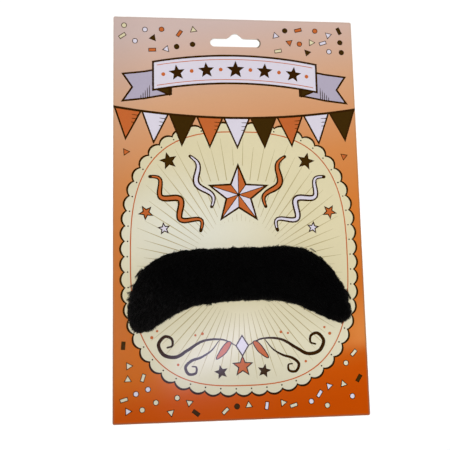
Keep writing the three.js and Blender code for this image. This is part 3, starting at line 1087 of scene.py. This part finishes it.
# ---- The strands of the pile ----
def strand_material(name, root, tip, spread):
    """Black fibre: darker at its root, and each strand a little lighter or darker than its neighbour."""
    m, nodes, links, shader = new_material(name)
    uv = node(nodes, "ShaderNodeUVMap", uv_map="OFBake")
    split = node(nodes, "ShaderNodeSeparateXYZ")
    links.new(uv.outputs["UV"], split.inputs["Vector"])
    ramp = node(nodes, "ShaderNodeValToRGB")
    ramp.color_ramp.elements[0].position, ramp.color_ramp.elements[0].color = 0.1, (*root, 1)
    ramp.color_ramp.elements[1].position, ramp.color_ramp.elements[1].color = 1.0, (*tip, 1)
    links.new(split.outputs["Y"], ramp.inputs["Fac"])
    own = node(nodes, "ShaderNodeTexWhiteNoise", noise_dimensions="1D")
    step = node(nodes, "ShaderNodeMath", operation="MULTIPLY")
    step.inputs[1].default_value = 255.0
    whole = node(nodes, "ShaderNodeMath", operation="FLOOR")
    links.new(split.outputs["X"], step.inputs[0])
    links.new(step.outputs[0], whole.inputs[0])
    links.new(whole.outputs[0], own.inputs["W"])
    # Most strands differ a little in tone, and one in twelve is much lighter, painted glints that stand in for strands
    # catching the light
    span = node(nodes, "ShaderNodeFloatCurve")
    curve = span.mapping.curves[0]
    curve.points[0].location = (0.0, (1 - spread) / 8)
    curve.points[1].location = (1.0, 0.9)
    curve.points.new(0.91, (1 + spread) / 8)
    span.mapping.update()
    links.new(own.outputs["Value"], span.inputs["Value"])
    scaled = node(nodes, "ShaderNodeMath", operation="MULTIPLY")
    scaled.inputs[1].default_value = 8.0
    links.new(span.outputs["Value"], scaled.inputs[0])
    tint = node(nodes, "ShaderNodeVectorMath", operation="SCALE")
    links.new(ramp.outputs["Color"], tint.inputs[0])
    links.new(scaled.outputs[0], tint.inputs["Scale"])
    # Painted sheen: the fibre is lighter and greyer towards the lower left end, standing in for light catching the pile
    # there
    place = node(nodes, "ShaderNodeTexCoord")
    across = node(nodes, "ShaderNodeVectorMath", operation="DOT_PRODUCT")
    across.inputs[1].default_value = (-0.55, -0.83, 0.0)
    links.new(place.outputs["Object"], across.inputs[0])
    painted_sheen = node(nodes, "ShaderNodeMapRange", **{"From Min": 0.058, "From Max": 0.077, "To Min": 1.0, "To Max": 8.6})
    links.new(across.outputs["Value"], painted_sheen.inputs["Value"])
    sheen_lit_fibre = node(nodes, "ShaderNodeVectorMath", operation="SCALE")
    links.new(tint.outputs["Vector"], sheen_lit_fibre.inputs[0])
    links.new(painted_sheen.outputs["Result"], sheen_lit_fibre.inputs["Scale"])
    links.new(sheen_lit_fibre.outputs["Vector"], shader.inputs["Base Color"])
    shader.inputs["Roughness"].default_value = 0.45
    shader.inputs["Specular IOR Level"].default_value = 0.15
    return m


def unit(v):
    return v / np.maximum(np.linalg.norm(v, axis=-1, keepdims=True), 1e-9)


def strands(name, paths, radius, material, seed):
    """Closed tapering strands of three sides, one for each path. paths is (strand, level, 3), in millimetres, and radius the root's."""
    n, levels, _ = paths.shape
    local = np.random.default_rng(seed)
    way = unit(paths[:, -1] - paths[:, 0])
    side = unit(np.cross(way, unit(local.normal(size=(n, 3)))))
    over = np.cross(way, side)
    taper = np.interp(np.linspace(0, 1, levels)[:-1], [0, 0.5, 1], [1.0, 0.92, 0.6])
    r = np.broadcast_to(np.asarray(radius, float), (n,))[:, None] * taper[None]
    angle = np.arange(3) * 2 * math.pi / 3
    spin = local.uniform(0, 2 * math.pi, n)[:, None] + angle[None]
    ring = np.cos(spin)[..., None] * side[:, None] + np.sin(spin)[..., None] * over[:, None]
    body = paths[:, :-1, None, :] + ring[:, None] * r[:, :, None, None]
    vertices = np.concatenate([body.reshape(n, -1, 3), paths[:, -1:, :]], 1)
    per = vertices.shape[1]
    faces, heights = [(0, 2, 1)], [(0, 0, 0)]
    for k in range(levels - 2):
        for i in range(3):
            a, b = 3 * k + i, 3 * k + (i + 1) % 3
            faces.append((a, b, b + 3, a + 3))
            heights.append((k, k, k + 1, k + 1))
    last = 3 * (levels - 2)
    for i in range(3):
        faces.append((last + i, last + (i + 1) % 3, per - 1))
        heights.append((levels - 2, levels - 2, levels - 1))
    sizes = np.array([len(f) for f in faces])
    loops = np.concatenate([np.array(f) for f in faces])
    v = np.concatenate([np.array(h) for h in heights]) / (levels - 1)
    mesh = bpy.data.meshes.new(name)
    mesh.vertices.add(n * per)
    mesh.vertices.foreach_set("co", (vertices.reshape(-1) * MM).astype(np.float32))
    mesh.loops.add(n * len(loops))
    mesh.loops.foreach_set("vertex_index", (loops[None] + np.arange(n)[:, None] * per).astype(np.int32).ravel())
    mesh.polygons.add(n * len(faces))
    starts = np.concatenate([[0], np.cumsum(sizes)[:-1]])
    mesh.polygons.foreach_set("loop_start", (starts[None] + np.arange(n)[:, None] * len(loops)).astype(np.int32).ravel())
    mesh.polygons.foreach_set("use_smooth", np.ones(n * len(faces), bool))
    mesh.update(calc_edges=True)
    layer = mesh.uv_layers.new(name="OFBake")
    own = (np.floor(local.uniform(0, 1, n) * 250) + 0.5) / 255
    uv = np.stack([np.broadcast_to(own[:, None], (n, len(loops))), np.broadcast_to(0.02 + 0.96 * v[None], (n, len(loops)))], -1)
    uv = uv + np.stack([np.broadcast_to(((loops % 3) - 1)[None] * 0.0006, (n, len(loops))), np.zeros((n, len(loops)))], -1)
    layer.data.foreach_set("uv", uv.astype(np.float32).ravel())
    mesh.materials.append(material)
    piece = bpy.data.objects.new(name, mesh)
    scene.collection.objects.link(piece)
    return piece


def surface_points(rings, count, local, rim=0.0):
    """Even random points over the rings' skin, with the skin's outward direction at each."""
    grid = np.stack(rings)
    across = np.roll(grid, -1, 1) - np.roll(grid, 1, 1)
    up = np.gradient(grid, axis=0)
    normal = unit(np.cross(across, up))
    crown = grid[..., 2] > 6.7
    normal[crown] = unit(normal[crown] * np.array([0.4, 0.4, 0.0]) + np.array([0.0, 0.0, 1.0]))
    a, b = grid[:-1], grid[1:]
    c, d = np.roll(a, -1, 1), np.roll(b, -1, 1)
    area = 0.5 * (np.linalg.norm(np.cross(c - a, b - a), axis=-1) + np.linalg.norm(np.cross(b - d, c - d), axis=-1))
    area = area * (1.0 + rim * np.clip(1 - normal[:-1, :, 2], 0, 1))
    pick = local.choice(area.size, count, p=(area / area.sum()).ravel())
    k, i = np.divmod(pick, area.shape[1])
    j = (i + 1) % area.shape[1]
    u, v = local.uniform(size=(2, count, 1))

    def blend(g):
        return (g[k, i] * (1 - u) + g[k, j] * u) * (1 - v) + (g[k + 1, i] * (1 - u) + g[k + 1, j] * u) * v

    return blend(grid), unit(blend(normal))


def nap(p):
    """The way the pile lies: out from the middle along each lobe, and down towards its lower edge."""
    x = p[:, 0]
    slope = (spine_y(x + 2) - spine_y(x - 2)) / 4
    out = np.tanh(x / 16)
    along = unit(np.stack([np.ones_like(x), slope, np.zeros_like(x)], -1)) * out[:, None]
    down = np.array([0.0, -1.0, 0.0])
    swirl = 0.35 * np.sin(x * 0.21 + p[:, 1] * 0.33)[:, None] * np.array([1.0, 0.3, 0.0])
    return unit(along * 0.85 + down * 0.55 + swirl)


def pile_paths(count, levels, length, seed, lean=0.8, clump=0.5, stand=0.0, rim=1.2):
    """Curved paths from inside the pile to its skin, for all of it but the underside, which faces the cloth."""
    local = np.random.default_rng(seed)
    tip, normal = surface_points(form_rings(EDGE, to_spine=True)[6:], count, local, rim)
    flow = nap(tip)
    flow = unit(flow - (flow * normal).sum(1, keepdims=True) * normal)
    crown = np.clip((normal[:, 2:3] - 0.2) / 0.6, 0, 1)
    way = unit(normal * (1.0 - 0.35 * crown) + flow * lean * (0.35 + 0.65 * crown) + local.normal(size=tip.shape) * 0.22)
    reach = length * local.uniform(0.75, 1.2, (count, 1))
    tip = tip + way * local.uniform(-0.45, 0.05, (count, 1)) + normal * stand
    tree = KDTree(max(1, count // 36))
    seeds = tip[: max(1, count // 36)]
    for n, q in enumerate(seeds):
        tree.insert(q, n)
    tree.balance()
    near = seeds[[tree.find(q)[1] for q in tip]]
    root = tip - way * reach - normal * 0.3
    pull = clump * local.uniform(0.2, 1.0, (count, 1)) * (0.35 + 0.65 * crown)
    tip = tip + (near - tip) * pull * 0.6
    middle = root + normal * reach * 0.45 + way * reach * 0.2
    t = np.linspace(0, 1, levels)[None, :, None]
    paths = root[:, None] * (1 - t) ** 2 + middle[:, None] * 2 * t * (1 - t) + tip[:, None] * t**2
    paths[..., 2] = np.maximum(paths[..., 2], CARD_TOP + 0.12)
    return paths


def tuft_paths(rows, levels, seed):
    """Locks of hair that stand out past the edge: rows of place, heading, length past the place, hairs, width and bow."""
    local = np.random.default_rng(seed)
    made = []
    for r in rows:
        a, n = math.radians(r["heading"]), int(r["hairs"])
        ahead, side = np.array([math.cos(a), math.sin(a), 0.0]), np.array([-math.sin(a), math.cos(a), 0.0])
        place = np.array([r["x"], r["y"], 3.2])
        root = place - ahead * 2.4 + side * local.normal(0, r["width"] * 0.5, (n, 1)) + local.uniform(-0.9, 1.2, (n, 1)) * [0, 0, 1]
        tip = place + ahead * r["length"] * local.uniform(0.55, 1.05, (n, 1)) + side * local.normal(0, r["width"] * 0.3, (n, 1))
        tip = tip + local.uniform(-1.6, 0.2, (n, 1)) * [0, 0, 1]
        middle = (root + tip) / 2 + side * (r["bow"] * 2 + local.normal(0, 0.12, (n, 1))) + [0, 0, 0.7]
        t = np.linspace(0, 1, levels)[None, :, None]
        made.append(root[:, None] * (1 - t) ** 2 + middle[:, None] * 2 * t * (1 - t) + tip[:, None] * t**2)
    paths = np.concatenate(made)
    paths[..., 2] = np.maximum(paths[..., 2], CARD_TOP + 0.12)
    return paths


def small_tufts(count, seed):
    """Little locks at random places all round the edge."""
    local = np.random.default_rng(seed)
    outward = -normals(EDGE, True)
    rows = []
    for i in local.choice(len(EDGE), count, replace=False):
        p = EDGE[i] - outward[i] * 0.35
        heading = math.degrees(math.atan2(outward[i, 1], outward[i, 0])) + local.normal(0, 28)
        rows.append(
            {
                "x": p[0],
                "y": p[1],
                "heading": heading,
                "length": local.uniform(0.5, 1.25),
                "hairs": local.integers(5, 12),
                "width": local.uniform(0.25, 0.7),
                "bow": local.normal(0, 0.12),
            }
        )
    return rows


def skin_tufts(count, hairs, levels, seed):
    """Little locks all over the pile that stand out of it, so that its skin is uneven."""
    local = np.random.default_rng(seed)
    place, normal = surface_points(form_rings(EDGE, to_spine=True)[13:], count, local)
    flow = nap(place)
    flow = unit(flow - (flow * normal).sum(1, keepdims=True) * normal)
    way = unit(normal + flow * local.uniform(0.2, 1.1, (count, 1)) + local.normal(size=place.shape) * 0.3)[:, None]
    place, normal = place[:, None], normal[:, None]
    size = (count, hairs, 1)
    reach = local.uniform(0.35, 1.0, (count, 1, 1)) * local.uniform(0.6, 1.05, size)
    root = place - way * 2.2 + local.normal(size=(count, hairs, 3)) * 0.42
    tip = place + way * reach + local.normal(size=(count, hairs, 3)) * 0.17
    middle = (root + tip) / 2 + normal * 0.35
    root, middle, tip = (p.reshape(-1, 1, 3) for p in (root, middle, tip))
    t = np.linspace(0, 1, levels)[None, :, None]
    paths = root * (1 - t) ** 2 + middle * 2 * t * (1 - t) + tip * t**2
    paths[..., 2] = np.maximum(paths[..., 2], CARD_TOP + 0.12)
    return paths


# The locks that show: on the left end's shoulder, along the right end, at both lower corners and here and there
TUFTS = [
    {"x": -61.0, "y": -37.2, "heading": 219, "length": 3.6, "hairs": 46, "width": 1.5, "bow": -0.3},
    {"x": -62.6, "y": -39.0, "heading": 226, "length": 3.0, "hairs": 26, "width": 1.0, "bow": -0.3},
    {"x": -66.6, "y": -45.4, "heading": 205, "length": 1.5, "hairs": 18, "width": 1.0, "bow": 0.1},
    {"x": -68.4, "y": -49.6, "heading": 196, "length": 1.2, "hairs": 26, "width": 1.6, "bow": 0.1},
    {"x": -68.8, "y": -53.4, "heading": 204, "length": 1.0, "hairs": 22, "width": 1.6, "bow": 0.1},
    {"x": -64.6, "y": -72.6, "heading": 236, "length": 1.2, "hairs": 20, "width": 0.9, "bow": 0.0},
    {"x": -57.5, "y": -72.6, "heading": 262, "length": 0.9, "hairs": 14, "width": 0.9, "bow": 0.1},
    {"x": -21.2, "y": -57.4, "heading": 258, "length": 1.3, "hairs": 22, "width": 1.1, "bow": 0.0},
    {"x": -18.4, "y": -57.2, "heading": 280, "length": 1.0, "hairs": 12, "width": 0.8, "bow": 0.0},
    {"x": 38.6, "y": -60.6, "heading": 262, "length": 1.5, "hairs": 14, "width": 0.7, "bow": 0.1},
    {"x": 62.0, "y": -70.0, "heading": 262, "length": 0.9, "hairs": 24, "width": 1.0, "bow": 0.0},
    {"x": 66.4, "y": -67.8, "heading": 310, "length": 0.6, "hairs": 18, "width": 1.2, "bow": 0.0},
    {"x": 62.9, "y": -46.8, "heading": 300, "length": 3.6, "hairs": 36, "width": 0.8, "bow": 0.0},
    {"x": 65.8, "y": -51.8, "heading": 303, "length": 5.0, "hairs": 84, "width": 1.25, "bow": 0.0},
    {"x": 67.4, "y": -60.4, "heading": 287, "length": 1.4, "hairs": 26, "width": 0.9, "bow": 0.0},
    {"x": 67.9, "y": -63.6, "heading": 300, "length": 1.2, "hairs": 22, "width": 1.2, "bow": 0.0},
    {"x": 45.4, "y": -25.3, "heading": 325, "length": 3.1, "hairs": 9, "width": 0.4, "bow": 0.5},
    {"x": 23.8, "y": -21.5, "heading": 70, "length": 0.9, "hairs": 12, "width": 1.0, "bow": 0.0},
    {"x": -4.6, "y": -22.4, "heading": 52, "length": 1.3, "hairs": 10, "width": 0.6, "bow": 0.1},
    {"x": -27.0, "y": -23.0, "heading": 110, "length": 0.9, "hairs": 10, "width": 0.8, "bow": 0.0},
]

fibre = strand_material("black_fibre", (0.0004, 0.0004, 0.0004), (0.0025, 0.0023, 0.0023), 0.6)
PATCHES = [
    {"name": "pile_outer_left", "from": -90.0, "to": -36.0},
    {"name": "pile_inner_left", "from": -36.0, "to": 0.0},
    {"name": "pile_inner_right", "from": 0.0, "to": 36.0},
    {"name": "pile_outer_right", "from": 36.0, "to": 90.0},
]
paths = pile_paths(44000, 4, 3.6, 77)
for k, patch in enumerate(PATCHES):
    x = paths[:, -1, 0]
    own = paths[(x >= patch["from"]) & (x < patch["to"])]
    piece = strands(patch["name"], own, np.random.default_rng(k).uniform(0.055, 0.085, len(own)), fibre, 100 + k)
    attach(piece, "root")

# Finer hairs that stand out past the rest, all round the edge
local = np.random.default_rng(5)
fringe_paths = pile_paths(2600, 5, 2.8, 78, lean=0.6, clump=0.1, stand=0.18, rim=3.0)
fringe = strands("fringe_hairs", fringe_paths, local.uniform(0.03, 0.045, len(fringe_paths)), fibre, 9)
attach(fringe, "root")

lock_paths = tuft_paths(TUFTS + small_tufts(110, 31), 5, 32)
locks = strands("edge_locks", lock_paths, local.uniform(0.035, 0.055, len(lock_paths)), fibre, 10)
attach(locks, "root")

skin_paths = skin_tufts(420, 9, 5, 64)
skin_locks = strands("skin_locks", skin_paths, local.uniform(0.04, 0.06, len(skin_paths)), fibre, 11)
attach(skin_locks, "root")

# ---- The cloth under the pile ----
def cloth_material():
    m, nodes, links, shader = new_material("knitted_backing")
    place = node(nodes, "ShaderNodeTexCoord")
    wales = node(nodes, "ShaderNodeTexWave", wave_type="BANDS", bands_direction="X", Scale=400.0, Distortion=0.6, Detail=1.0)
    rows = node(nodes, "ShaderNodeTexWave", wave_type="BANDS", bands_direction="Y", Scale=520.0, Distortion=0.6, Detail=1.0)
    links.new(place.outputs["Object"], wales.inputs["Vector"])
    links.new(place.outputs["Object"], rows.inputs["Vector"])
    both = node(nodes, "ShaderNodeMath", operation="MULTIPLY")
    links.new(wales.outputs["Fac"], both.inputs[0])
    links.new(rows.outputs["Fac"], both.inputs[1])
    ramp = node(nodes, "ShaderNodeValToRGB")
    ramp.color_ramp.elements[0].color = (0.002, 0.002, 0.002, 1)
    ramp.color_ramp.elements[1].color = (0.012, 0.0115, 0.011, 1)
    links.new(both.outputs[0], ramp.inputs["Fac"])
    links.new(ramp.outputs["Color"], shader.inputs["Base Color"])
    bump = node(nodes, "ShaderNodeBump", Strength=0.7, Distance=0.0002)
    links.new(both.outputs[0], bump.inputs["Height"])
    links.new(bump.outputs["Normal"], shader.inputs["Normal"])
    shader.inputs["Roughness"].default_value = 0.95
    return m


plain_edge = moustache_outline(420)
cloth_edge = inset_ring(plain_edge, 2.0) + normals(plain_edge, True) * (0.12 * np.sin(np.arange(len(plain_edge)) * 2.9))[:, None]
h = CLOTH_TOP - CLOTH_FOOT
cloth_rings = []
for take_in, z in ((0.25, 0.0), (0.05, 0.15), (0.0, 0.5), (0.05, 0.85), (0.25, 1.0)):
    ring = cloth_edge + normals(cloth_edge, True) * take_in
    cloth_rings.append(np.column_stack([ring, np.full(len(ring), CLOTH_FOOT + h * z)]))
cloth_vertices, cloth_faces = closed_rings(cloth_rings)
backing = mesh_piece("backing_cloth", cloth_vertices, cloth_faces)
backing.data.materials.append(cloth_material())
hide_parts("base_cloth")
x, y = cloth_edge[:, 0], cloth_edge[:, 1]
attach(backing, "root")


# ---- The tape keeps its solid, and gets its finish ----
def tape_material():
    m, nodes, links, shader = new_material("foam_tape")
    place = node(nodes, "ShaderNodeTexCoord")
    cells = node(nodes, "ShaderNodeTexVoronoi", Scale=2600.0)
    links.new(place.outputs["Object"], cells.inputs["Vector"])
    ramp = node(nodes, "ShaderNodeValToRGB")
    ramp.color_ramp.elements[0].color = srgb(206, 200, 186)
    ramp.color_ramp.elements[1].color = srgb(236, 232, 220)
    links.new(cells.outputs["Distance"], ramp.inputs["Fac"])
    links.new(ramp.outputs["Color"], shader.inputs["Base Color"])
    bump = node(nodes, "ShaderNodeBump", Strength=0.4, Distance=0.0001)
    links.new(cells.outputs["Distance"], bump.inputs["Height"])
    links.new(bump.outputs["Normal"], shader.inputs["Normal"])
    shader.inputs["Roughness"].default_value = 0.6
    return m


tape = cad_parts["adhesive_tape"]
tape.data.materials.clear()
tape.data.materials.append(tape_material())


# ---- The floor ----
floor_mesh = bpy.data.meshes.new("floor")
floor_mesh.from_pydata([(-3, -3, -0.0002), (3, -3, -0.0002), (3, 3, -0.0002), (-3, 3, -0.0002)], [], [(0, 1, 2, 3)])
floor = bpy.data.objects.new("floor", floor_mesh)
scene.collection.objects.link(floor)
m, nodes, links, shader = new_material("pale_floor")
shader.inputs["Base Color"].default_value = (0.985, 0.985, 0.985, 1)
shader.inputs["Roughness"].default_value = 0.9
shader.inputs["Specular IOR Level"].default_value = 0.1
floor_mesh.materials.append(m)
